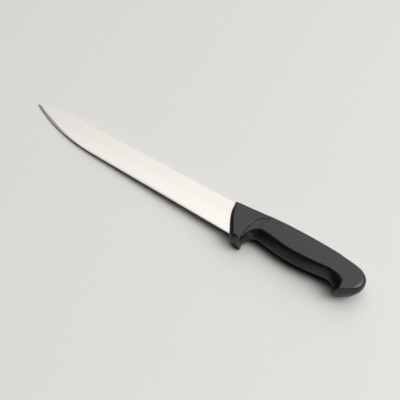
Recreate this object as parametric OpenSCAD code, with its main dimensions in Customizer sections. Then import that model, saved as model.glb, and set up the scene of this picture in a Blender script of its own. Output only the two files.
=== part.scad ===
// Carving knife: a stamped steel blade with a hidden tang, a hard moulded core that shows as
// the front guard, and a second moulding that makes the grip from the crease to the hooked butt.
// The knife lies on its side, its tip to -X, its butt to +X and its cutting edge to -Y.

/* [Blade] */
// Length of the blade along its spine, from the guard to the tip
blade_len = 210; // [150:1:280]
// Width of the blade at the guard, from the spine to the edge
blade_w = 27.6; // [24:0.1:28.5]
// Thickness of the steel at the guard
blade_t = 2; // [1.6:0.1:3]
// Thickness that the steel has thinned to at the tip
tip_t = 1.1; // [0.8:0.1:1.5]
// Length from the guard over which the spine keeps its full thickness
taper_start = 60; // [20:1:100]
// Angle in degrees at which the straight edge closes on the spine
edge_rise = 1.6; // [0:0.1:2.5]
// Length of the curved sweep of the edge behind the tip
sweep_len = 77; // [50:1:100]
// Length over which the spine falls to the tip
drop_len = 42; // [25:1:60]
// Height that the spine falls to the tip
tip_drop = 5.6; // [3:0.1:9]
// Depth below the spine where the flat ends and the grind starts
grind_depth = 13.7; // [10:0.1:16]
// Angle in degrees of each ground side below that line
grind_angle = 3; // [2:0.1:3.2]
// Half angle in degrees of the cutting bevel
bevel_angle = 16; // [12:1:22]
// Width of the blunt land left along the cutting edge
edge_land = 0.1; // [0.06:0.01:0.2]

/* [Tang] */
// Distance from the guard's upper front corner to the end of the tang
tang_len = 96; // [70:1:100]
// Depth of the blade's full width inside the guard
heel_in = 5; // [3:0.5:7]
// Depth of the tang's upper edge below the spine
tang_top = 4; // [3:0.5:6]
// Width of the tang where it leaves the heel
tang_w = 11; // [9:0.5:12]
// Width of the tang at its end
tang_end_w = 8; // [7:0.5:10]
// Diameter of the holes that the hard moulding flows through
tang_hole_d = 5; // [3:0.5:6]
// Distance between the centres of those holes
tang_hole_pitch = 22; // [16:1:25]

/* [Core] */
// Thickness of the hard moulding inside the grip
core_t = 8; // [6:0.5:10]
// Wall that the hard moulding has above, below and behind the tang
core_wall = 2; // [1.5:0.1:2.5]
// Diameter of the round notches that lock the grip to it
notch_d = 3; // [2:0.5:4]

/* [Guard] */
// Thickness of the guard
guard_t = 14; // [12:0.1:16]
// Distance from the end of the blade's spine line to the guard's upper front corner
guard_set = 2.6; // [1:0.1:4]
// Length along the knife from the upper front corner to the lower front corner
front_run = 16.4; // [14:0.1:18]
// Depth of the lower front corner below the spine
front_drop = 33.5; // [31.5:0.1:35]
// Length along the knife from the lower front corner to the guard's toe
toe_run = 8.9; // [8:0.1:12]
// Depth of the guard's toe below the lower front corner
toe_drop = 0.3; // [0.1:0.1:3]

/* [Crease] */
// Distance of the crease in front of the guard's toe
crease_back = 0.9; // [0.4:0.1:3]
// Depth below the spine where the crease starts to turn back
crease_drop = 15; // [12:0.1:18]
// Radius of the crease's turn
crease_r = 12.5; // [8:0.1:15]
// Angle in degrees through which the crease turns
crease_turn = 60; // [50:1:80]

/* [Grip] */
// Distance from the guard's toe to the middle of the finger neck
neck_run = 11; // [9:0.1:14]
// Depth of the neck below the spine
neck_drop = 21.2; // [20.2:0.1:23]
// Thickness of the neck
neck_t = 16.8; // [14:0.1:18]
// Distance from the neck to the palm swell
swell_run = 31.3; // [27:0.1:36]
// Depth of the palm swell below the spine
swell_drop = 24.5; // [23:0.1:26.5]
// Thickness of the palm swell
swell_t = 18.4; // [18.2:0.1:21]
// Distance from the palm swell to the finger recess before the hook
recess_run = 28.5; // [24:0.1:34]
// Depth of that recess below the spine
recess_drop = 21.8; // [20.5:0.1:23]
// Thickness at the recess
recess_t = 18; // [16:0.1:18.2]
// Distance from the recess to the point of the hook
hook_run = 14.1; // [12:0.1:17]
// Depth of the hook's point below the spine
hook_drop = 31.5; // [30:0.1:32.5]
// Thickness at the hook
hook_t = 11.4; // [10:0.1:14]
// Distance from the hook's point to the end of the butt
butt_run = 17.8; // [16:0.1:21]
// Depth of the end of the butt below the spine
butt_drop = 12.5; // [10:0.1:15]
// Height of the back's crest above the spine
crest_rise = 3.7; // [2.5:0.1:5]
// Depth to which the lower flank is cut flat, for the knife to lie on
rest_cut = 0.2; // [0.1:0.05:0.3]

/* [Hidden] */
$fn = 48;

steel = [0.93, 0.92, 0.90];
hard_black = [0.13, 0.13, 0.14];
soft_black = [0.10, 0.10, 0.105];

function heading(a) = [cos(a), sin(a)];
function mix(a, b, t) = a * (1 - t) + b * t;
function ease(t) = t * t * (3 - 2 * t);

// Where the outline's main points lie along the knife, counted from the end of the spine line
front_x = guard_set + front_run;
toe_x = front_x + toe_run;
neck_x = toe_x + neck_run;
swell_x = neck_x + swell_run;
recess_x = swell_x + recess_run;
hook_x = recess_x + hook_run;
butt_x = hook_x + butt_run;
half_guard = guard_t / 2;
half_swell = swell_t / 2;
half_hook = hook_t / 2;

// A node of an outline: its place, how far the flank's edge lies inside it, the height of the
// turn between them, the half thickness, the heading in and out, how flat the turn is from 0,
// round, to 1, a straight slope, and how far the curve holds each heading
function rail_node(place, inset, rise, half_t, in, out, slope = 0, pull = 0.36) =
    [place, [inset[0], inset[1], rise, half_t, slope], in, out, pull];

front_low = [front_x, -front_drop];
toe = [toe_x, -front_drop - toe_drop];
toe_angle = atan2(toe[1] - front_low[1], toe[0] - front_low[0]);
front_angle = -60;
corner = 2.4;
front_mid = [mix(guard_set, front_x, 0.21), -12];
front_in = [3.7, 0.4];

lower = [
    rail_node(front_mid, front_in, 5.5, half_guard, -66, -66),
    rail_node(front_low - corner * heading(front_angle), [3.2, 2.2], 5.5, half_guard,
        front_angle, front_angle, 0.1),
    rail_node(front_low + corner * heading(toe_angle), [1.6, 4], half_guard - 0.6, half_guard,
        toe_angle, toe_angle, 0.4),
    rail_node(toe, [-0.6, 2], half_guard - 0.2, half_guard, toe_angle, 80, 0.4),
    rail_node(toe + [0.9, 4.7], [-2, 1.1], half_guard - 0.4, half_guard + 0.3, 85, 85, 0.3, 0.45),
    rail_node([neck_x, -neck_drop], [-0.5, 7.5], neck_t / 2 - 0.3, neck_t / 2, -6, -6, 0.45, 0.42),
    rail_node([swell_x, -swell_drop], [0, 7], half_swell - 0.2, half_swell, 0, 0, 0.45),
    rail_node([recess_x, -recess_drop], [0.5, 5.8], recess_t / 2 - 0.2, recess_t / 2, 7, 7, 0.5, 0.4),
    rail_node([hook_x - 2.6, mix(-hook_drop, -recess_drop, 0.72)], [4.6, 7], half_hook + 0.8,
        half_hook + 1, -30, -30, 0.9),
    rail_node([hook_x, -hook_drop], [5.4, 4.9], half_hook + 0.2, half_hook + 0.4, -62, 31, 0.75),
    rail_node([hook_x + 8.8, mix(-hook_drop, -butt_drop, 0.28)], [0.9, 1.7], half_hook - 0.3,
        half_hook, 35, 35, 0.5),
    rail_node([butt_x, -butt_drop], [-5.2, 0], half_hook - 0.7, half_hook, 90, 90, 0, 0.42)
];
upper = [
    rail_node(front_mid, front_in, 5.5, half_guard, 114, 114),
    rail_node([guard_set + 0.2, -0.6], [3.6, -3.4], 5.5, half_guard, 105, 75),
    rail_node([guard_set + 1.6, 0.6], [3, -5], half_guard - 1, half_guard, 5, 5),
    rail_node([neck_x + 17, crest_rise], [0, -7], half_swell - 1.6, half_swell, 0, 0),
    rail_node([recess_x + 5, crest_rise - 1.5], [0, -7], recess_t / 2 - 1.4, recess_t / 2, -4, -4,
        0, 0.4),
    rail_node([butt_x, -butt_drop], [-5.2, 0], half_hook - 0.7, half_hook, -90, -90, 0, 0.42)
];
// Sections between each pair of lower nodes, and where each lower node's partner lies on the
// upper outline, counted in that outline's nodes
steps = [3, 3, 4, 6, 6, 9, 8, 7, 7, 7, 8];
partner = [0, 1, 1.5, 2.1, 2.3, 2.72, 3.32, 3.86, 4.34, 4.6, 4.76, 5];

// Place on the cubic between two nodes
function cubic(a, b, t) =
    let (span = norm(b[0] - a[0]), u = 1 - t,
         p = a[0] + heading(a[3]) * span * a[4],
         q = b[0] - heading(b[2]) * span * b[4])
    u * u * u * a[0] + 3 * u * u * t * p + 3 * u * t * t * q + t * t * t * b[0];

function rail(nodes, u) =
    let (k = min(floor(u), len(nodes) - 2), t = u - k)
    [cubic(nodes[k], nodes[k + 1], t), mix(nodes[k][1], nodes[k + 1][1], ease(t))];

last_span = len(steps) - 1;
stations = [for (k = [0 : last_span]) for (i = [0 : steps[k] - (k == last_span ? 0 : 1)])
    let (t = i / steps[k]) [k + t, mix(partner[k], partner[k + 1], t)]];

// One section of the handle: up over the back edge, across the flank, down over the lower
// edge, and the same again below the middle plane
arc_steps = 7;
land_steps = 3;
function edge_point(r, j) =
    let (s = r[1], v = j / arc_steps, u = 1 - v, hold = 0.55 - 0.45 * s[4],
         across = 0.6 * u * u * v * s[4] * hold + 3 * u * v * v * (0.45 + 0.2 * s[4]) + v * v * v,
         climb = 3 * u * u * v * hold + 3 * u * v * v + v * v * v)
    concat(r[0] + [s[0], s[1]] * across, [s[3] - s[2] * (1 - climb)]);
function ring(lo, up) =
    let (up_arc = [for (j = [0 : arc_steps]) edge_point(up, j)],
         lo_arc = [for (j = [arc_steps : -1 : 0]) edge_point(lo, j)],
         land = [for (j = [1 : land_steps - 1]) mix(up_arc[arc_steps], lo_arc[0], j / land_steps)],
         half = concat(up_arc, land, lo_arc))
    concat(half, [for (j = [len(half) - 1 : -1 : 0]) [half[j][0], half[j][1], -half[j][2]]]);
rings = [for (s = stations) ring(rail(lower, s[0]), rail(upper, s[1]))];

// The blade's outline: both curves are arcs that leave their straight lines smoothly and meet
// at the tip
tip = [-blade_len, -tip_drop];
spine_end = [-blade_len + drop_len, 0];
spine_r = (drop_len * drop_len + tip_drop * tip_drop) / (2 * tip_drop);
spine_sweep = atan2(drop_len, spine_r - tip_drop);
function edge_y(x) = -blade_w - x * tan(edge_rise);
edge_dir = heading(180 - edge_rise);
edge_in = heading(90 - edge_rise);
edge_end = [-blade_len + sweep_len, edge_y(-blade_len + sweep_len)];
edge_along = (tip - edge_end) * edge_dir;
edge_climb = (tip - edge_end) * edge_in;
edge_r = (edge_along * edge_along + edge_climb * edge_climb) / (2 * edge_climb);
edge_centre = edge_end + edge_in * edge_r;
edge_sweep = atan2(edge_along, edge_r - edge_climb);
outline_steps = 20;

// The heel's back edge runs parallel to the guard's front
heel_top = [guard_set + heel_in, 0];
heel_low = [front_x + heel_in, edge_y(front_x + heel_in)];
function heel_x(depth) = mix(heel_top[0], heel_low[0], depth / -heel_low[1]);
tang_mid = -tang_top - tang_w / 2;
tang_end = guard_set + tang_len;
tang_root = heel_x(-tang_mid);
hole_inset = 12;
tang_holes = [tang_root + hole_inset : tang_hole_pitch : tang_end - tang_hole_d];

module blade_outline() {
    polygon(concat(
        [heel_low, [heel_x(tang_top + tang_w), -tang_top - tang_w]],
        [[tang_end, tang_mid - tang_end_w / 2], [tang_end, tang_mid + tang_end_w / 2]],
        [[heel_x(tang_top), -tang_top], heel_top],
        [for (i = [0 : outline_steps]) let (a = spine_sweep * i / outline_steps)
            spine_end + spine_r * [-sin(a), cos(a) - 1]],
        [for (i = [outline_steps - 1 : -1 : 0]) let (a = edge_sweep * i / outline_steps)
            edge_centre + edge_r * (edge_dir * sin(a) - edge_in * cos(a))]));
}

// Long enough to cut past every side of the blade
clear = 40;
full_len = blade_len + tang_len + clear;

// What is ground away above the middle plane: the taper to the tip, the ground side below the
// flat, along the taper and before it, and the cutting bevel along the straight edge and round
// its sweep
module grindings() {
    taper_angle = atan2((blade_t - tip_t) / 2, blade_len - taper_start);
    translate([-taper_start, 0, blade_t / 2])
        rotate([0, -taper_angle, 0])
            translate([-full_len, -clear, 0])
                cube([full_len, 2 * clear, blade_t]);
    translate([-taper_start, -grind_depth, blade_t / 2])
        rotate([0, -taper_angle, 0])
            rotate([grind_angle, 0, 0])
                translate([-full_len, -clear, 0])
                    cube([full_len, clear, blade_t]);
    translate([0, -grind_depth, blade_t / 2])
        rotate([grind_angle, 0, 0])
            translate([-full_len, -clear, 0])
                cube([2 * full_len, clear, blade_t]);
    bevel_run = 6;
    translate([edge_end[0], edge_end[1], edge_land / 2])
        rotate([0, 0, -edge_rise])
            rotate([bevel_angle, 0, 0])
                translate([0, -bevel_run, 0])
                    cube([full_len, 2 * bevel_run, 2 * blade_t]);
    bevel_rise = bevel_run * tan(bevel_angle);
    translate([edge_centre[0], edge_centre[1], edge_land / 2])
        rotate([0, 0, -90 - edge_rise - edge_sweep - 1])
            rotate_extrude(angle = edge_sweep + 1, $fn = 720)
                polygon([[edge_r + bevel_run, -bevel_rise], [edge_r + bevel_run, 2 * bevel_rise],
                    [edge_r - bevel_run, 2 * bevel_rise], [edge_r - bevel_run, bevel_rise]]);
}

module blade_solid() {
    difference() {
        linear_extrude(blade_t, center = true) blade_outline();
        grindings();
        mirror([0, 0, 1]) grindings();
        for (x = tang_holes)
            translate([x, tang_mid, -blade_t])
                cylinder(d = tang_hole_d, h = 2 * blade_t);
    }
}

// The whole handle as one skin
module skin() {
    m = len(rings[0]);
    sides = [for (i = [0 : len(rings) - 2]) for (j = [0 : m - 1]) for (f = [0, 1])
        let (a = i * m + j, b = i * m + (j + 1) % m) f == 0 ? [a, b + m, b] : [a, a + m, b + m]];
    difference() {
        polyhedron([for (r = rings) for (p = r) p], sides);
        translate([-clear, -2 * clear, rest_cut - half_swell - clear])
            cube([butt_x + 2 * clear, 4 * clear, clear]);
    }
}

// All that lies in front of the crease
crease_x = toe_x - crease_back;
crease_steps = 10;
module crease_front() {
    turn = [for (i = [0 : crease_steps]) let (a = crease_turn * i / crease_steps)
        [crease_x + crease_r * (1 - cos(a)), -crease_drop + crease_r * sin(a)]];
    rise_end = turn[crease_steps] + clear * heading(90 - crease_turn);
    linear_extrude(2 * swell_t, center = true)
        polygon(concat([[-clear, clear], [-clear, -2 * clear], [crease_x, -2 * clear]], turn,
            [rise_end, [rise_end[0], clear]]));
}

// The hard moulding round the tang, with notches between the tang's holes
module core_bar() {
    top_root = -tang_top + core_wall;
    low_root = -tang_top - tang_w - core_wall;
    end_half = tang_end_w / 2 + core_wall;
    end_x = tang_end + core_wall;
    start_x = heel_x(tang_top);
    difference() {
        linear_extrude(core_t, center = true)
            polygon([[start_x, top_root], [start_x, low_root], [end_x, tang_mid - end_half],
                [end_x, tang_mid + end_half]]);
        for (x = tang_holes, side = [-1, 1]) let (
            notch_x = x + tang_hole_pitch / 2,
            half_w = mix(tang_w, tang_end_w, (notch_x - start_x) / (end_x - start_x)) / 2 + core_wall)
            if (notch_x < tang_end)
                translate([notch_x, tang_mid + side * (half_w + notch_d / 8), -core_t])
                    cylinder(d = notch_d, h = 2 * core_t);
    }
}

// Moves the knife so that its origin is under the middle of its box
module place() {
    translate([(blade_len - butt_x) / 2, (-toe[1] - crest_rise) / 2, half_swell - rest_cut])
        children();
}

module blade() {
    color(steel) place() blade_solid();
}

module handle_core() {
    color(hard_black) place() difference() {
        union() {
            intersection() {
                skin();
                crease_front();
            }
            core_bar();
        }
        blade_solid();
    }
}

module grip() {
    color(soft_black) place() difference() {
        skin();
        crease_front();
        core_bar();
    }
}

blade();
handle_core();
grip();
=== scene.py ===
"""A carving knife lying on a pale floor: stamped steel blade, moulded guard and moulded grip."""

import logging
import math
from dataclasses import dataclass, field
from enum import Enum
from typing import Optional, Sequence

import bmesh
import bpy
from mathutils import Matrix, Vector


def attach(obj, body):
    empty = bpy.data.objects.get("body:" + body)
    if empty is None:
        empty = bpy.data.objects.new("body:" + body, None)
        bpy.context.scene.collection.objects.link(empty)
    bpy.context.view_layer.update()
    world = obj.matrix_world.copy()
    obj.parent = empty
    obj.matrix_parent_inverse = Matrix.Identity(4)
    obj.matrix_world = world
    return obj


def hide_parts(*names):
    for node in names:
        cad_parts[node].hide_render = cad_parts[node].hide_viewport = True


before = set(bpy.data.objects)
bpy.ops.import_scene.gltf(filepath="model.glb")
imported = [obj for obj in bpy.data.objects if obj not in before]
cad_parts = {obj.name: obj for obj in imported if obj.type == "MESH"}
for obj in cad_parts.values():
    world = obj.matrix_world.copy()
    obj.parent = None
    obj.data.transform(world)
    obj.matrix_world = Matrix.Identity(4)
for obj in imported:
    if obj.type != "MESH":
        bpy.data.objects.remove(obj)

log = logging.getLogger("carving_knife")
MM = 0.001
# Distances in millimetres under which two points are one, and under which a gap is none
SAME_POINT = 1e-4
NO_GAP = 1e-5
# Nearly all of a noise texture's values lie between these two
NOISE_LOW, NOISE_HIGH = 0.3, 0.7
# How far the outline's curve holds a heading, as a share of the way to the next node
PULL = 0.36
# From the end of the blade's spine line, where the sizes below start, to the part's own origin
SHIFT = Vector((39.7, 15.05, 9.0))


# ---------------------------------------------------------------- small helpers


def heading(angle: float) -> Vector:
    """The flat unit vector at an angle in degrees from +X."""
    return Vector((math.cos(math.radians(angle)), math.sin(math.radians(angle))))


def mix(a: float, b: float, t: float) -> float:
    """The value t of the way from a to b."""
    return a * (1 - t) + b * t


def ease(t: float) -> float:
    """The same way with a soft start and a soft end, held between 0 and 1."""
    t = min(1.0, max(0.0, t))
    return t * t * (3 - 2 * t)


def smooth_through(points: Sequence[tuple[float, float]], x: float) -> float:
    """Reads a smooth curve through points that rise in x.

    Args:
        points: Places and values, in order.
        x: The place to read.

    Returns:
        The value there, held level beyond both ends.
    """
    if x <= points[0][0]:
        return points[0][1]
    if x >= points[-1][0]:
        return points[-1][1]
    k = max(i for i in range(len(points) - 1) if points[i][0] <= x)

    def slope(i: int) -> float:
        """The curve's slope at one of the points, level at a peak.

        Args:
            i: The point's number.

        Returns:
            The slope.
        """
        if i == 0 or i == len(points) - 1:
            return 0.0
        (xa, ya), (xb, yb), (xc, yc) = points[i - 1], points[i], points[i + 1]
        before, after = (yb - ya) / (xb - xa), (yc - yb) / (xc - xb)
        return 0.0 if before * after <= 0 else 2 * before * after / (before + after)

    (x0, y0), (x1, y1) = points[k], points[k + 1]
    span = x1 - x0
    t = (x - x0) / span
    return (
        y0 * (1 + 2 * t) * (1 - t) ** 2
        + slope(k) * span * t * (1 - t) ** 2
        + y1 * t * t * (3 - 2 * t)
        + slope(k + 1) * span * t * t * (t - 1)
    )


def linear(code: str) -> tuple[float, float, float, float]:
    """Turns an sRGB hex colour to the linear one that a socket takes.

    Args:
        code: Six hex digits after a hash.

    Returns:
        The linear colour, with its alpha at 1.
    """
    parts = [int(code[i : i + 2], 16) / 255 for i in (1, 3, 5)]
    r, g, b = (c / 12.92 if c <= 0.04045 else ((c + 0.055) / 1.055) ** 2.4 for c in parts)
    return (r, g, b, 1.0)


def add(
    tree: bpy.types.NodeTree, kind: str, links: Optional[dict] = None, **settings: object
) -> bpy.types.Node:
    """Adds a node with its settings and links.

    Args:
        tree: The node tree.
        kind: The node's type name.
        links: Input name or number to the socket that feeds it, or to a plain value.
        **settings: The node's own properties.

    Returns:
        The new node.
    """
    node = tree.nodes.new(kind)
    for name, value in settings.items():
        setattr(node, name, value)
    for name, value in (links or {}).items():
        if isinstance(value, bpy.types.NodeSocket):
            tree.links.new(value, node.inputs[name])
        else:
            node.inputs[name].default_value = value
    return node


def blank_material(name: str) -> bpy.types.Material:
    """Makes a material with an empty node tree.

    Args:
        name: The material's name.

    Returns:
        The material.
    """
    material = bpy.data.materials.new(name)
    material.use_nodes = True
    material.node_tree.nodes.clear()
    return material


def to_object(
    name: str, bm: bmesh.types.BMesh, materials: Sequence[bpy.types.Material]
) -> bpy.types.Object:
    """Makes a scene object of a bmesh that holds its places in millimetres.

    Args:
        name: The object's name.
        bm: The shape, which is freed.
        materials: Its material slots in order.

    Returns:
        The object, at the origin, with its place in its mesh.
    """
    mesh = bpy.data.meshes.new(name)
    bm.to_mesh(mesh)
    bm.free()
    mesh.transform(Matrix.Scale(MM, 4) @ Matrix.Translation(SHIFT))
    for material in materials:
        mesh.materials.append(material)
    obj = bpy.data.objects.new(name, mesh)
    bpy.context.scene.collection.objects.link(obj)
    return obj


def shade(mesh: bpy.types.Mesh, sharp: float) -> None:
    """Shades a mesh smooth, but for edges that turn by more than an angle in degrees."""
    mesh.polygons.foreach_set("use_smooth", [True] * len(mesh.polygons))
    mesh.set_sharp_from_angle(angle=math.radians(sharp))


# ---------------------------------------------------------------- finishes


@dataclass(frozen=True)
class SatinSteel:
    """Martensitic stainless knife steel, ground satin.

    To the eye it is a soft grey mirror that blurs the window into one even sheen. The flat is a
    little greyer and warmer than the ground side below it, and fine grinding lines run across.
    """

    name: str = "satin_ground_stainless_steel"
    flat: str = "#D1CEC9"
    warm: str = "#D6D1C7"
    ground: str = "#D6D3CE"
    roughness: float = 0.30
    # The grinding lines of a 240 grit belt lie about 0.06 mm apart, far under a pixel here, so they
    # are drawn ten times as coarse
    line_mm: float = 0.6
    line_length_mm: float = 14.0
    line_detail: float = 3.0
    line_fineness: float = 0.6
    line_depth_mm: float = 0.02
    line_strength: float = 0.05
    spread: float = 0.04
    # The belt's pressure, and with it the tone, changes over about 45 mm
    patch_mm: float = 45.0
    # Where the flat ends and the ground side begins, in millimetres across the part
    shoulder_y: float = 1.35
    shoulder_soft: float = 0.7
    warm_reach: float = 6.0

    def build(self) -> bpy.types.Material:
        """Makes the material.

        Returns:
            The material.
        """
        material = blank_material(self.name)
        tree = material.node_tree
        place = add(tree, "ShaderNodeTexCoord").outputs["Object"]
        # Long across the blade and short along it
        along, across = 1 / (self.line_mm * MM), 1 / (self.line_length_mm * MM)
        lines = add(
            tree, "ShaderNodeMapping", {"Vector": place, "Scale": (along, across, across)}
        ).outputs["Vector"]
        grind = add(
            tree,
            "ShaderNodeTexNoise",
            {
                "Vector": lines,
                "Scale": 1.0,
                "Detail": self.line_detail,
                "Roughness": self.line_fineness,
            },
        ).outputs["Fac"]
        patch = add(
            tree,
            "ShaderNodeTexNoise",
            {"Vector": place, "Scale": 1 / (self.patch_mm * MM), "Detail": 1.0},
        ).outputs["Fac"]
        # 0 on the flat, 1 on the ground side
        y = add(tree, "ShaderNodeSeparateXYZ", {"Vector": place}).outputs["Y"]
        side = add(
            tree,
            "ShaderNodeMapRange",
            {
                "Value": y,
                "From Min": (self.shoulder_y + self.shoulder_soft) * MM,
                "From Max": (self.shoulder_y - self.shoulder_soft) * MM,
            },
            interpolation_type="SMOOTHSTEP",
        ).outputs["Result"]
        # The flat turns warmer towards the shoulder
        near = add(
            tree,
            "ShaderNodeMapRange",
            {
                "Value": y,
                "From Min": (self.shoulder_y + self.warm_reach) * MM,
                "From Max": self.shoulder_y * MM,
            },
            interpolation_type="SMOOTHSTEP",
        ).outputs["Result"]
        warmth = add(
            tree, "ShaderNodeMath", {0: near, 1: patch}, operation="MULTIPLY"
        ).outputs["Value"]
        flat = add(
            tree,
            "ShaderNodeMix",
            {"Factor": warmth, 6: linear(self.flat), 7: linear(self.warm)},
            data_type="RGBA",
        ).outputs[2]
        tone = add(
            tree,
            "ShaderNodeMix",
            {"Factor": side, 6: flat, 7: linear(self.ground)},
            data_type="RGBA",
        ).outputs[2]
        rough = add(
            tree,
            "ShaderNodeMapRange",
            {
                "Value": grind,
                "From Min": NOISE_LOW,
                "From Max": NOISE_HIGH,
                "To Min": self.roughness - self.spread,
                "To Max": self.roughness + self.spread,
            },
        ).outputs["Result"]
        bump = add(
            tree,
            "ShaderNodeBump",
            {"Height": grind, "Strength": self.line_strength, "Distance": self.line_depth_mm * MM},
        ).outputs["Normal"]
        shader = add(
            tree,
            "ShaderNodeBsdfPrincipled",
            {"Base Color": tone, "Metallic": 1.0, "Roughness": rough, "Normal": bump},
        )
        add(tree, "ShaderNodeOutputMaterial", {"Surface": shader.outputs["BSDF"]})
        return material


@dataclass(frozen=True)
class HonedSteel:
    """The same steel where the cutting bevel is honed.

    To the eye it is a thin bright line along the edge, with a sharper glint than the sides.
    """

    name: str = "honed_stainless_steel"
    colour: str = "#DCDAD6"
    roughness: float = 0.22
    spread: float = 0.06
    # Honing lines are about 0.02 mm apart, and are drawn twenty times as coarse to show at all
    line_mm: float = 0.4
    line_length_mm: float = 5.0

    def build(self) -> bpy.types.Material:
        """Makes the material.

        Returns:
            The material.
        """
        material = blank_material(self.name)
        tree = material.node_tree
        place = add(tree, "ShaderNodeTexCoord").outputs["Object"]
        along, across = 1 / (self.line_mm * MM), 1 / (self.line_length_mm * MM)
        lines = add(
            tree, "ShaderNodeMapping", {"Vector": place, "Scale": (along, across, across)}
        ).outputs["Vector"]
        grind = add(
            tree, "ShaderNodeTexNoise", {"Vector": lines, "Scale": 1.0, "Detail": 2.0}
        ).outputs["Fac"]
        rough = add(
            tree,
            "ShaderNodeMapRange",
            {
                "Value": grind,
                "To Min": self.roughness - self.spread,
                "To Max": self.roughness + self.spread,
            },
        ).outputs["Result"]
        shader = add(
            tree,
            "ShaderNodeBsdfPrincipled",
            {"Base Color": linear(self.colour), "Metallic": 1.0, "Roughness": rough},
        )
        add(tree, "ShaderNodeOutputMaterial", {"Surface": shader.outputs["BSDF"]})
        return material


@dataclass(frozen=True)
class MouldedBlack:
    """Black polypropylene from a spark-eroded mould.

    To the eye it is a deep black with a soft sheen, broken up by a fine, even, matt grain.
    """

    name: str = "moulded_black_polypropylene"
    colour: str = "#040405"
    # A painted highlight for the grain's peaks, while the colour above also serves as painted shade
    # in its hollows
    painted_peak_highlight: str = "#222429"
    roughness: float = 0.3
    ior: float = 1.5
    # The mould's grain is about 0.12 mm, under a pixel here, so it is drawn at 0.9 mm
    grain_mm: float = 0.9
    grain_detail: float = 4.0
    grain_fineness: float = 0.65
    grain_depth_mm: float = 0.15
    grain_strength: float = 0.5
    # The grain's values at which its hollows are fully painted black as shade and its peaks fully
    # painted pale as highlight
    painted_shade_at: float = 0.44
    painted_highlight_at: float = 0.62
    spread: float = 0.03
    # The sheen changes over about 9 mm, as the plastic shrank from the mould
    cloud_mm: float = 9.0

    def build(self) -> bpy.types.Material:
        """Makes the material.

        Returns:
            The material.
        """
        material = blank_material(self.name)
        tree = material.node_tree
        place = add(tree, "ShaderNodeTexCoord").outputs["Object"]
        grain = add(
            tree,
            "ShaderNodeTexNoise",
            {
                "Vector": place,
                "Scale": 1 / (self.grain_mm * MM),
                "Detail": self.grain_detail,
                "Roughness": self.grain_fineness,
            },
        ).outputs["Fac"]
        cloud = add(
            tree,
            "ShaderNodeTexNoise",
            {"Vector": place, "Scale": 1 / (self.cloud_mm * MM), "Detail": 2.0},
        ).outputs["Fac"]
        # Painted shade and highlight: the grain's hollows are painted black and its peaks a little
        # paler, following the bump's relief
        painted_grain_shading = add(tree, "ShaderNodeValToRGB", {"Fac": grain})
        low, high = painted_grain_shading.color_ramp.elements
        low.position, low.color = self.painted_shade_at, linear(self.colour)
        high.position, high.color = self.painted_highlight_at, linear(self.painted_peak_highlight)
        rough = add(
            tree,
            "ShaderNodeMapRange",
            {
                "Value": cloud,
                "From Min": NOISE_LOW,
                "From Max": NOISE_HIGH,
                "To Min": self.roughness - self.spread,
                "To Max": self.roughness + self.spread,
            },
        ).outputs["Result"]
        bump = add(
            tree,
            "ShaderNodeBump",
            {
                "Height": grain,
                "Strength": self.grain_strength,
                "Distance": self.grain_depth_mm * MM,
            },
        ).outputs["Normal"]
        shader = add(
            tree,
            "ShaderNodeBsdfPrincipled",
            {
                "Base Color": painted_grain_shading.outputs["Color"],
                "Roughness": rough,
                "IOR": self.ior,
                "Normal": bump,
            },
        )
        add(tree, "ShaderNodeOutputMaterial", {"Surface": shader.outputs["BSDF"]})
        return material


@dataclass(frozen=True)
class PaleFloor:
    """A painted matt floor, which to the eye is one plain pale tone with a soft shadow on it."""

    name: str = "pale_matt_floor"
    colour: str = "#D7D7D3"
    roughness: float = 0.9
    specular: float = 0.2

    def build(self) -> bpy.types.Material:
        """Makes the material.

        Returns:
            The material.
        """
        material = bpy.data.materials.new(self.name)
        material.use_nodes = True
        shader = material.node_tree.nodes["Principled BSDF"]
        shader.inputs["Base Color"].default_value = linear(self.colour)
        shader.inputs["Roughness"].default_value = self.roughness
        shader.inputs["Specular IOR Level"].default_value = self.specular
        return material


# ---------------------------------------------------------------- handle


@dataclass(frozen=True)
class RailNode:
    """A node of the handle's outline, with the section that stands on it.

    The flank's edge lies inset from the outline, and the turn between them rises by rise. The
    outline comes in and goes out on two headings in degrees. A slope of 0 makes the turn round and
    one of 1 straight. The pull is how far the curve holds each heading.
    """

    place: Vector
    inset: Vector
    rise: float
    angle_in: float
    angle_out: float
    slope: float = 0.0
    pull: float = PULL


@dataclass(frozen=True)
class RailPoint:
    """Where a section meets the outline, and how it turns into the flank."""

    place: Vector
    inset: Vector
    rise: float
    slope: float


@dataclass(frozen=True)
class Rail:
    """One run of the outline, through its nodes."""

    nodes: tuple[RailNode, ...]

    def at(self, u: float) -> RailPoint:
        """Reads the outline.

        Args:
            u: The place, counted in nodes.

        Returns:
            The point there.
        """
        k = min(int(u), len(self.nodes) - 2)
        t = u - k
        a, b = self.nodes[k], self.nodes[k + 1]
        span = (b.place - a.place).length
        p = a.place + heading(a.angle_out) * span * a.pull
        q = b.place - heading(b.angle_in) * span * b.pull
        s = 1 - t
        place = a.place * s**3 + p * (3 * s * s * t) + q * (3 * s * t * t) + b.place * t**3
        e = ease(t)
        return RailPoint(
            place, a.inset.lerp(b.inset, e), mix(a.rise, b.rise, e), mix(a.slope, b.slope, e)
        )


def rail_node(
    x: float,
    y: float,
    inset: tuple[float, float],
    rise: float,
    angle_in: float,
    angle_out: Optional[float] = None,
    slope: float = 0.0,
    pull: float = PULL,
) -> RailNode:
    """A rail node from plain numbers, with one heading where both are alike."""
    out = angle_in if angle_out is None else angle_out
    return RailNode(Vector((x, y)), Vector(inset), rise, angle_in, out, slope, pull)


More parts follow.
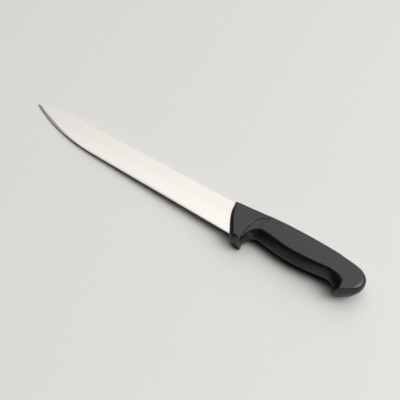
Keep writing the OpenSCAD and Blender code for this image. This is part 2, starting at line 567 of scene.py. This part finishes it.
@dataclass
class Crease:
    """The line where the guard's moulding ends and the grip's begins, seen from the side.

    It sinks by depth at a tight lip on each side, and the guard also dips to it over a wide valley.
    """

    points: tuple[tuple[float, float], ...] = (
        (29.4, -38.0),
        (28.5, -33.0),
        (27.9, -29.5),
        (27.2, -25.2),
        (26.9, -20.0),
        (27.0, -14.6),
        (27.6, -11.4),
        (28.8, -8.6),
        (31.2, -5.8),
        (34.9, -3.5),
        (40.4, -0.6),
        (46.0, 2.6),
        (53.0, 7.5),
    )
    depth: float = 0.62
    guard_lip: float = 0.55
    grip_lip: float = 1.3
    valley: float = 3.6
    valley_depth: float = 0.3
    # Heights between which the crease dies away into the back, what is left of it there, and how
    # much higher it is gone
    fade_from: float = -20.0
    fade_to: float = 3.6
    fade_left: float = 0.2
    fade_out: float = 1.5
    # Heights between which it grows from the toe, where the flank is too narrow to hold it whole
    toe_from: float = -30.5
    toe_to: float = -25.0
    toe_left: float = 0.3
    steps: int = 5
    curve: list[Vector] = field(default_factory=list)

    def __post_init__(self) -> None:
        """Draws the smooth curve, a Catmull-Rom spline, through the points."""
        pts = [Vector(p) for p in self.points]
        pts = [2 * pts[0] - pts[1], *pts, 2 * pts[-1] - pts[-2]]
        for k in range(1, len(pts) - 2):
            a, b, c, d = pts[k - 1 : k + 3]
            bend, twist = 2 * a - 5 * b + 4 * c - d, 3 * b - a - 3 * c + d
            for i in range(self.steps):
                t = i / self.steps
                self.curve.append(0.5 * (2 * b + (c - a) * t + bend * t * t + twist * t**3))
        self.curve.append(pts[-2])

    def distance(self, p: Vector) -> float:
        """Measures how far a flat point lies from the crease.

        Args:
            p: The point, seen from the side.

        Returns:
            The distance, above 0 on the grip's side.
        """
        best = signed = math.inf
        for a, b in zip(self.curve, self.curve[1:]):
            along = b - a
            t = min(1.0, max(0.0, (p - a).dot(along) / along.length_squared))
            gap = p - (a + along * t)
            if gap.length < best:
                best = gap.length
                signed = math.copysign(best, gap.x * along.y - gap.y * along.x)
        return signed

    def sink(self, p: Vector) -> float:
        """Works out how deep the skin sinks at a flat point.

        Args:
            p: The point, seen from the side.

        Returns:
            The depth.
        """
        s = self.distance(p)
        up_back = ease((p.y - self.fade_from) / (self.fade_to - self.fade_from))
        up_toe = ease((p.y - self.toe_from) / (self.toe_to - self.toe_from))
        left = mix(1.0, self.fade_left, up_back)
        left *= 1 - ease((p.y - self.fade_to) / self.fade_out)
        left *= mix(self.toe_left, 1.0, up_toe)
        if s > 0:
            return left * (self.depth + self.valley_depth) * (1 - ease(s / self.grip_lip))
        sharp = self.depth * (1 - ease(-s / self.guard_lip))
        return left * (sharp + self.valley_depth * (1 - ease(-s / self.valley)))

    def prism(self, reach: float = 60.0) -> bmesh.types.BMesh:
        """Makes the block that holds all in front of the crease.

        Args:
            reach: How far the block runs past the handle.

        Returns:
            The block.
        """
        bm = bmesh.new()
        corners = [Vector((-reach, -reach)), Vector((self.curve[0].x, -reach)), *self.curve]
        corners += [Vector((self.curve[-1].x, reach)), Vector((-reach, reach))]
        rim = [bm.verts.new((c.x, c.y, -reach / 2)) for c in corners]
        for a, b in zip(rim, rim[1:] + rim[:1]):
            bm.edges.new((a, b))
        face = bmesh.ops.contextual_create(bm, geom=bm.edges[:])["faces"]
        grown = bmesh.ops.extrude_face_region(bm, geom=face)["geom"]
        lid = [g for g in grown if isinstance(g, bmesh.types.BMVert)]
        bmesh.ops.translate(bm, vec=(0, 0, reach), verts=lid)
        bmesh.ops.recalc_face_normals(bm, faces=bm.faces[:])
        return bm


@dataclass
class HandleSkin:
    """The whole outside of the handle, which the guard and the grip are cut from.

    Sizes are in millimetres and headings in degrees.
    """

    lower: Rail = Rail(
        (
            rail_node(6.04, -12.0, (3.9, 0.4), 5.8, -66),
            rail_node(17.8, -31.42, (3.2, 2.2), 5.8, -60, slope=0.2),
            rail_node(21.4, -33.58, (2.2, 3.4), 6.4, -1.9, slope=0.8),
            rail_node(28.5, -33.8, (0.1, 1.4), 6.9, -1.9, 84, slope=0.7),
            rail_node(28.9, -29.1, (-1.6, 1.0), 6.6, 87, slope=0.2, pull=0.45),
            rail_node(38.9, -21.2, (-0.5, 7.1), 8.1, -6, slope=0.9, pull=0.42),
            rail_node(70.2, -24.5, (0, 6.1), 9.0, 0, slope=1),
            rail_node(98.7, -21.8, (0.5, 5.1), 8.8, 7, slope=0.9, pull=0.4),
            rail_node(110.2, -24.52, (4.6, 7.0), 6.4, -30, slope=0.8),
            rail_node(112.8, -31.5, (5.4, 4.9), 6.0, -62, 31, slope=0.7),
            rail_node(121.6, -26.18, (0.9, 2.4), 5.4, 35, slope=0.9),
            rail_node(130.6, -12.5, (-5.2, 0), 5.0, 90, pull=0.42),
        )
    )
    upper: Rail = Rail(
        (
            rail_node(6.04, -12.0, (3.9, 0.4), 5.8, 114),
            rail_node(2.8, -0.6, (4.0, -3.6), 5.8, 105, 75),
            rail_node(4.2, 0.6, (3.2, -5), 6.0, 5),
            rail_node(55.9, 3.7, (0, -7), 7.6, 0),
            rail_node(103.7, 2.2, (0, -7), 7.6, -4, pull=0.4),
            rail_node(130.6, -12.5, (-5.2, 0), 5.0, -90, pull=0.42),
        )
    )
    # The place on the upper outline that faces each lower node, and the sections between nodes
    partner: tuple[float, ...] = (0, 1, 1.5, 2.1, 2.3, 2.72, 3.32, 3.86, 4.34, 4.6, 4.76, 5)
    steps: tuple[int, ...] = (9, 9, 12, 18, 18, 27, 24, 21, 21, 21, 24)
    # Half the handle's thickness along the knife
    half: tuple[tuple[float, float], ...] = (
        (-5, 7.0),
        (18, 7.0),
        (30, 7.45),
        (40.2, 8.4),
        (56, 9.12),
        (70.2, 9.2),
        (86, 9.15),
        (98.6, 9.0),
        (107, 8.05),
        (114.8, 6.85),
        (118.5, 6.3),
        (124.6, 5.65),
        (132, 5.3),
    )
    # The least upright wall left at the outline
    least_wall: float = 0.15
    # How a turn's curve leaves the wall and meets the flank, and what a full slope changes in it
    wall_hold: float = 0.55
    wall_slope: float = 0.25
    wall_lean: float = 0.22
    flank_hold: float = 0.45
    flank_slope: float = 0.27
    # The height of the land that the knife lies on
    rest: float = -9.0
    arc_steps: int = 12
    land_steps: int = 20
    # How far from the crease the skin is made finer, and into how many more cuts
    finer: tuple[tuple[float, int], ...] = ((4.5, 1), (1.6, 3))
    finer_from: float = 20.0
    crease_from: float = 18.0
    crease_to: float = 56.0
    # The upright part of a normal where the crease starts to be cut, and how far on it is whole
    crease_tilt: float = 0.25
    crease_tilt_span: float = 0.4
    crease: Crease = field(default_factory=Crease)

    def turn(self, p: RailPoint) -> list[Vector]:
        """The section's turn from the outline's wall up to the flank's edge.

        Args:
            p: The outline's point.

        Returns:
            The points, in order.
        """
        top = p.place + p.inset
        height = smooth_through(self.half, top.x)
        rise = min(p.rise, height - self.least_wall)
        lean = self.wall_lean * p.slope
        hold = self.wall_hold - self.wall_slope * p.slope
        reach = self.flank_hold + self.flank_slope * p.slope
        points = []
        for j in range(self.arc_steps + 1):
            v = j / self.arc_steps
            u = 1 - v
            across = 3 * u * u * v * lean + 3 * u * v * v * reach + v**3
            climb = 3 * u * u * v * hold + 3 * u * v * v + v**3
            flat = p.place + p.inset * across
            points.append(Vector((flat.x, flat.y, height - rise * (1 - climb))))
        return points

    def section(self, lo: RailPoint, up: RailPoint) -> list[Vector]:
        """One closed section of the handle.

        Args:
            lo: The lower outline's point.
            up: The upper outline's point.

        Returns:
            The points: up over the back, across the flank, down over the belly, and back below.
        """
        rise, fall = self.turn(up), self.turn(lo)[::-1]
        land = []
        for j in range(1, self.land_steps):
            flat = rise[-1].lerp(fall[0], j / self.land_steps)
            land.append(Vector((flat.x, flat.y, smooth_through(self.half, flat.x))))
        top = rise + land + fall
        return top + [Vector((p.x, p.y, -p.z)) for p in reversed(top)]

    def loft(self) -> bmesh.types.BMesh:
        """Draws a ring through every section, each grown from the one before it.

        Returns:
            The closed skin.
        """
        stations = []
        for k, count in enumerate(self.steps):
            last = k == len(self.steps) - 1
            for i in range(count + (1 if last else 0)):
                t = i / count
                stations.append((k + t, mix(self.partner[k], self.partner[k + 1], t)))
        sections = [self.section(self.lower.at(lo), self.upper.at(up)) for lo, up in stations]
        bm = bmesh.new()
        ring = bmesh.ops.create_circle(bm, segments=len(sections[0]), radius=1.0)["verts"]
        for vert, place in zip(ring, sections[0]):
            vert.co = place
        for section in sections[1:]:
            rim = [bm.edges.get((a, b)) for a, b in zip(ring, ring[1:] + ring[:1])]
            bmesh.ops.extrude_edge_only(bm, edges=rim)
            old = set(ring)
            grown = []
            for vert in ring:
                # A new vertex still stands on the one that it grew from, and has two faces
                others = (edge.other_vert(vert) for edge in vert.link_edges)
                fresh = (o for o in others if o not in old and len(o.link_faces) == 2)
                grown.append(next(o for o in fresh if o.co == vert.co))
            for vert, place in zip(grown, section):
                vert.co = place
            ring = grown
        bmesh.ops.remove_doubles(bm, verts=bm.verts[:], dist=SAME_POINT)
        bmesh.ops.dissolve_degenerate(bm, edges=bm.edges[:], dist=NO_GAP)
        bmesh.ops.recalc_face_normals(bm, faces=bm.faces[:])
        return bm

    def groove(self, bm: bmesh.types.BMesh) -> None:
        """Refines the skin near the crease and sinks it there.

        Args:
            bm: The skin.
        """
        for reach, cuts in self.finer:
            edges = {}
            for face in bm.faces:
                middle = face.calc_center_median()
                if self.finer_from < middle.x < self.crease_to:
                    if abs(self.crease.distance(middle.xy)) < reach:
                        edges.update(dict.fromkeys(face.edges))
            bmesh.ops.subdivide_edges(bm, edges=list(edges), cuts=cuts, use_grid_fill=True)
        bm.normal_update()
        moves = []
        for vert in bm.verts:
            if self.crease_from < vert.co.x < self.crease_to:
                # The crease is cut into the flank only, and not into the toe's wall beside it
                flank = ease((abs(vert.normal.z) - self.crease_tilt) / self.crease_tilt_span)
                depth = self.crease.sink(vert.co.xy) * flank
                if depth > SAME_POINT:
                    moves.append((vert, vert.normal * -depth))
        for vert, move in moves:
            vert.co += move

    def build(self) -> bmesh.types.BMesh:
        """Makes the skin with its crease, flat where it lies on the floor.

        Returns:
            The skin.
        """
        bm = self.loft()
        self.groove(bm)
        for vert in bm.verts:
            vert.co.z = max(vert.co.z, self.rest)
        return bm


def cut(
    name: str, skin: bmesh.types.BMesh, block: bmesh.types.BMesh, keep_inside: bool
) -> bmesh.types.BMesh:
    """Cuts a closed shape with a block.

    Args:
        name: A name for the work objects.
        skin: The shape, which is left as it is.
        block: The block, which is left as it is.
        keep_inside: Whether to keep what lies in the block or what lies outside it.

    Returns:
        The part that is kept.
    """
    works = []
    for suffix, source in (("shape", skin), ("block", block)):
        mesh = bpy.data.meshes.new(f"{name}_{suffix}")
        source.to_mesh(mesh)
        obj = bpy.data.objects.new(f"{name}_{suffix}", mesh)
        bpy.context.scene.collection.objects.link(obj)
        works.append(obj)
    modifier = works[0].modifiers.new("cut", "BOOLEAN")
    modifier.operation = "INTERSECT" if keep_inside else "DIFFERENCE"
    modifier.solver = "MANIFOLD"
    modifier.object = works[1]
    depsgraph = bpy.context.evaluated_depsgraph_get()
    mesh = bpy.data.meshes.new_from_object(works[0].evaluated_get(depsgraph))
    bm = bmesh.new()
    bm.from_mesh(mesh)
    bpy.data.meshes.remove(mesh)
    for obj in works:
        data = obj.data
        bpy.data.objects.remove(obj)
        bpy.data.meshes.remove(data)
    return bm


@dataclass
class Handle:
    """The guard and the grip, moulded round the blade's tang."""

    skin: HandleSkin = field(default_factory=HandleSkin)
    finish: MouldedBlack = MouldedBlack()
    # Edges that turn by more degrees than this are shaded sharp
    sharp: float = 62.0

    def build(self) -> list[bpy.types.Object]:
        """Makes both mouldings and puts them in place of their solids.

        Returns:
            The guard and the grip.
        """
        plastic = self.finish.build()
        whole = self.skin.build()
        block = self.skin.crease.prism()
        made = []
        mouldings = (("moulded_guard", "handle_core", True), ("moulded_grip", "grip", False))
        for name, solid, inside in mouldings:
            obj = to_object(name, cut(name, whole, block, inside), [plastic])
            shade(obj.data, self.sharp)
            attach(obj, "root")
            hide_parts(solid)
            made.append(obj)
        whole.free()
        block.free()
        return made


# ---------------------------------------------------------------- blade


class Ground(Enum):
    """Which finish a face of the blade has."""

    SATIN = 0
    HONED = 1


@dataclass
class Blade:
    """The stamped and ground blade with its tang, in millimetres and degrees."""

    length: float = 210.0
    width: float = 27.6
    thickness: float = 2.0
    tip_thickness: float = 1.1
    taper_start: float = 60.0
    edge_rise: float = 1.6
    sweep_length: float = 77.0
    drop_length: float = 42.0
    tip_drop: float = 5.6
    grind_depth: float = 13.7
    grind_angle: float = 3.0
    bevel_angle: float = 16.0
    edge_land: float = 0.1
    # The heel inside the guard, then the tang's lower edge, end and upper edge
    tang: tuple[tuple[float, float], ...] = (
        (24.0, -28.27),
        (16.3, -15.0),
        (98.6, -13.5),
        (98.6, -5.5),
        (9.92, -4.0),
        (7.6, 0.0),
    )
    arc_steps: int = 40
    # The spine's rounding, from behind the tip to just inside the guard
    corner: float = 0.16
    corner_steps: int = 3
    corner_from: float = 4.0
    corner_to: float = 2.0
    # The upright part of a normal, above which a face is a side and below which it is the spine
    side_tilt: float = 0.9
    spine_tilt: float = 0.1
    # Edges that turn by more degrees than this are shaded sharp
    sharp: float = 1.2
    satin: SatinSteel = SatinSteel()
    honed: HonedSteel = HonedSteel()

    def sweep(self) -> tuple[Vector, float, float]:
        """Works out the arc that the edge follows to the tip.

        Returns:
            The arc's centre, its radius, and its angle in degrees.
        """
        along, inward = heading(180 - self.edge_rise), heading(90 - self.edge_rise)
        start = self.edge_start()
        reach = Vector((-self.length, -self.tip_drop)) - start
        far, up = reach.dot(along), reach.dot(inward)
        radius = (far * far + up * up) / (2 * up)
        return start + inward * radius, radius, math.degrees(math.atan2(far, radius - up))

    def edge_start(self) -> Vector:
        """Where the straight edge ends and its sweep begins."""
        x = -self.length + self.sweep_length
        return Vector((x, -self.width - x * math.tan(math.radians(self.edge_rise))))

    def outline(self, bm: bmesh.types.BMesh) -> None:
        """Draws the blade's outline with the tang, the drop and the sweep, and fills it.

        Args:
            bm: Where to draw it.
        """
        centre, _, angle = self.sweep()
        start = bm.verts.new((*self.edge_start(), 0))
        swept = bmesh.ops.spin(
            bm,
            geom=[start],
            cent=(*centre, 0),
            axis=(0, 0, 1),
            angle=-math.radians(angle),
            steps=self.arc_steps,
        )["geom_last"]
        drop_radius = (self.drop_length**2 + self.tip_drop**2) / (2 * self.tip_drop)
        drop_angle = math.atan2(self.drop_length, drop_radius - self.tip_drop)
        crest = bm.verts.new((-self.length + self.drop_length, 0, 0))
        dropped = bmesh.ops.spin(
            bm,
            geom=[crest],
            cent=(crest.co.x, -drop_radius, 0),
            axis=(0, 0, 1),
            angle=drop_angle,
            steps=self.arc_steps,
        )["geom_last"]
        tip = (-self.length, -self.tip_drop, 0)
        bmesh.ops.pointmerge(bm, verts=[swept[0], dropped[0]], merge_co=tip)
        chain = [start, *(bm.verts.new((x, y, 0)) for x, y in self.tang), crest]
        for a, b in zip(chain, chain[1:]):
            bm.edges.new((a, b))
        bmesh.ops.contextual_create(bm, geom=bm.edges[:])

    def planes(self) -> list[tuple[Vector, Vector, Ground]]:
        """Lists the flat cuts of the upper side.

        Returns:
            Where each cut lies, its outward normal and its finish, the taper and grinds first.
        """
        half = self.thickness / 2
        taper = math.atan2(half - self.tip_thickness / 2, self.length - self.taper_start)
        grind = math.radians(self.grind_angle)
        at_taper = Vector((-self.taper_start, -self.grind_depth, half))
        leaned = Matrix.Rotation(-taper, 3, "Y")
        ground = Matrix.Rotation(grind, 3, "X") @ Vector((0, 0, 1))
        cuts = [
            (at_taper, leaned @ Vector((0, 0, 1)), Ground.SATIN),
            (at_taper, ground, Ground.SATIN),
            (at_taper, leaned @ ground, Ground.SATIN),
        ]
        centre, radius, angle = self.sweep()
        tilt = math.radians(self.bevel_angle)
        for i in range(self.arc_steps + 1):
            # The sweep's chords, then the straight edge itself
            outward = -90 - self.edge_rise - angle * (i / self.arc_steps)
            out = heading(outward)
            point = centre + out * radius
            normal = Vector((*(out * math.sin(tilt)), math.cos(tilt)))
            cuts.append((Vector((*point, self.edge_land / 2)), normal, Ground.HONED))
        return cuts

    def build(self) -> bpy.types.Object:
        """Makes the blade and puts it in place of its solid.

        Returns:
            The blade.
        """
        bm = bmesh.new()
        self.outline(bm)
        bmesh.ops.translate(bm, vec=(0, 0, -self.thickness / 2), verts=bm.verts[:])
        grown = bmesh.ops.extrude_face_region(bm, geom=bm.faces[:])["geom"]
        top = [g for g in grown if isinstance(g, bmesh.types.BMVert)]
        bmesh.ops.translate(bm, vec=(0, 0, self.thickness), verts=top)
        bmesh.ops.recalc_face_normals(bm, faces=bm.faces[:])
        for place, normal, ground in self.planes():
            for side in (1, -1):
                flip = Vector((1, 1, side))
                found = bmesh.ops.bisect_plane(
                    bm,
                    geom=bm.verts[:] + bm.edges[:] + bm.faces[:],
                    dist=NO_GAP,
                    plane_co=place * flip,
                    plane_no=normal * flip,
                    clear_outer=True,
                )["geom_cut"]
                cuts = [g for g in found if isinstance(g, bmesh.types.BMEdge)]
                rim = [edge for edge in cuts if edge.is_boundary]
                if len(rim) > 2:
                    for face in bmesh.ops.contextual_create(bm, geom=rim)["faces"]:
                        face.material_index = ground.value
        bmesh.ops.recalc_face_normals(bm, faces=bm.faces[:])
        self.soften(bm)
        obj = to_object("stamped_blade", bm, [self.satin.build(), self.honed.build()])
        shade(obj.data, self.sharp)
        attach(obj, "root")
        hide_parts("blade")
        return obj

    def soften(self, bm: bmesh.types.BMesh) -> None:
        """Rounds the spine's two corners, as a last pass on the belt leaves them.

        Args:
            bm: The blade.
        """
        spine = []
        for edge in bm.edges:
            if len(edge.link_faces) != 2:
                continue
            upright = [abs(f.normal.z) for f in edge.link_faces]
            middle = (edge.verts[0].co + edge.verts[1].co) / 2
            square = min(upright) < self.spine_tilt and max(upright) > self.side_tilt
            along = -self.length + self.corner_from < middle.x < self.corner_to
            if square and along and middle.y > -self.tip_drop:
                spine.append(edge)
        bmesh.ops.bevel(
            bm,
            geom=spine,
            offset=self.corner,
            segments=self.corner_steps,
            profile=0.5,
            affect="EDGES",
            material=-1,
            clamp_overlap=True,
        )


# ---------------------------------------------------------------- studio


@dataclass
class Studio:
    """The floor under the resting knife, the lamp, the room and the camera."""

    # The camera, fitted to the photograph in the part's frame, in millimetres
    eye: tuple[float, float, float] = (349.987, -421.672, 665.539)
    right: tuple[float, float, float] = (0.808635, 0.587377, -0.033143)
    ahead: tuple[float, float, float] = (-0.393593, 0.498263, -0.772540)
    view_angle: float = 22.0
    sensor: float = 36.0
    far_end: float = 20.0
    # Where the knife's mass acts along it, from its two materials
    mass_x: float = 11.7
    floor_size: float = 3.0
    # Bearings are degrees to the right of straight behind the knife, and heights degrees above the
    # floor. The room brightens towards one direction, between two cosines of the angle to it
    sky: str = "#FBFAF9"
    room_bearing: float = 45.0
    room_height: float = 58.0
    room_from: float = 0.45
    room_to: float = 0.95
    room_dark: float = 0.0
    room_bright: float = 1.7
    # A large soft lamp at the right, its distance and side in metres
    lamp_bearing: float = 112.0
    lamp_height: float = 36.0
    lamp_away: float = 2.4
    lamp_size: float = 1.72
    lamp_glow: float = 4.4
    floor: PaleFloor = PaleFloor()

    def resting_line(self) -> tuple[float, float]:
        """Finds how the knife comes to rest on its tip and its handle.

        Returns:
            The floor's height under the origin in metres, and its slope along the knife.
        """
        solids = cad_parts.values()
        places = sorted({(v.co.x, v.co.z) for solid in solids for v in solid.data.vertices})
        hull: list[tuple[float, float]] = []
        for p in places:
            while len(hull) > 1:
                (ax, az), (bx, bz) = hull[-2:]
                if (bx - ax) * (p[1] - az) - (bz - az) * (p[0] - ax) > 0:
                    break
                hull.pop()
            hull.append(p)
        for (ax, az), (bx, bz) in zip(hull, hull[1:]):
            if ax <= self.mass_x * MM <= bx:
                slope = (bz - az) / (bx - ax)
                return az - slope * ax, slope
        return 0.0, 0.0

    def lay_floor(self) -> None:
        """Lays the floor under the resting knife."""
        height, slope = self.resting_line()
        bm = bmesh.new()
        bmesh.ops.create_grid(bm, x_segments=2, y_segments=2, size=self.floor_size / 2)
        for vert in bm.verts:
            vert.co.z = height + slope * vert.co.x
        mesh = bpy.data.meshes.new("floor")
        bm.to_mesh(mesh)
        bm.free()
        mesh.materials.append(self.floor.build())
        obj = bpy.data.objects.new("floor", mesh)
        bpy.context.scene.collection.objects.link(obj)
        log.info("floor: %.2f mm under the origin, slope %.4f", height / MM, slope)

    def toward(self, bearing: float, height: float) -> Vector:
        """Turns a bearing and a height to a direction.

        Args:
            bearing: Degrees to the right of straight behind the knife, seen from the camera.
            height: Degrees above the floor.

        Returns:
            The unit vector from the knife.
        """
        level = Vector(self.ahead).xy.normalized()
        side = Vector((level.y, -level.x))
        flat = level * math.cos(math.radians(bearing)) + side * math.sin(math.radians(bearing))
        up = math.radians(height)
        return Vector((*(flat * math.cos(up)), math.sin(up)))

    def hang_lamp(self) -> None:
        """Hangs the square soft lamp, which faces the knife."""
        place = self.toward(self.lamp_bearing, self.lamp_height) * self.lamp_away
        data = bpy.data.lights.new("window_lamp", "AREA")
        data.shape = "SQUARE"
        data.size = self.lamp_size
        # A face that glows by 1 is as bright as white
        data.energy = self.lamp_glow * math.pi * self.lamp_size * self.lamp_size
        obj = bpy.data.objects.new("window_lamp", data)
        turn = place.to_track_quat("Z", "Y").to_matrix().to_4x4()
        obj.matrix_world = Matrix.Translation(place) @ turn
        bpy.context.scene.collection.objects.link(obj)

    def light_room(self) -> None:
        """Sets the room's own light, which is bright on the window's side."""
        world = bpy.data.worlds.new("studio_room")
        bpy.context.scene.world = world
        world.use_nodes = True
        tree = world.node_tree
        look = add(tree, "ShaderNodeTexCoord").outputs["Generated"]
        window = self.toward(self.room_bearing, self.room_height)
        near = add(
            tree, "ShaderNodeVectorMath", {0: look, 1: window}, operation="DOT_PRODUCT"
        ).outputs["Value"]
        glow = add(
            tree,
            "ShaderNodeMapRange",
            {
                "Value": near,
                "From Min": self.room_from,
                "From Max": self.room_to,
                "To Min": self.room_dark,
                "To Max": self.room_bright,
            },
            interpolation_type="SMOOTHSTEP",
        ).outputs["Result"]
        back = tree.nodes["Background"]
        back.inputs["Color"].default_value = linear(self.sky)
        tree.links.new(glow, back.inputs["Strength"])

    def place_camera(self) -> None:
        """Sets the camera as the photograph was taken."""
        data = bpy.data.cameras.new("camera")
        data.sensor_width = self.sensor
        data.lens = self.sensor / 2 / math.tan(math.radians(self.view_angle / 2))
        data.clip_end = self.far_end
        obj = bpy.data.objects.new("camera", data)
        right, back = Vector(self.right).normalized(), -Vector(self.ahead).normalized()
        turn = Matrix((right, back.cross(right), back)).transposed()
        obj.matrix_world = Matrix.Translation(Vector(self.eye) * MM) @ turn.to_4x4()
        bpy.context.scene.collection.objects.link(obj)
        bpy.context.scene.camera = obj

    def build(self) -> None:
        """Sets up everything round the knife."""
        self.place_camera()
        self.lay_floor()
        self.hang_lamp()
        self.light_room()
        bpy.context.scene.view_settings.view_transform = "Standard"


def main() -> None:
    logging.basicConfig(level=logging.INFO, format="%(message)s")
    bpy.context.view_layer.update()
    Studio().build()
    for piece in (Blade().build(), *Handle().build()):
        log.info("%s: %d faces", piece.name, len(piece.data.polygons))


if __name__ == "__main__":
    main()
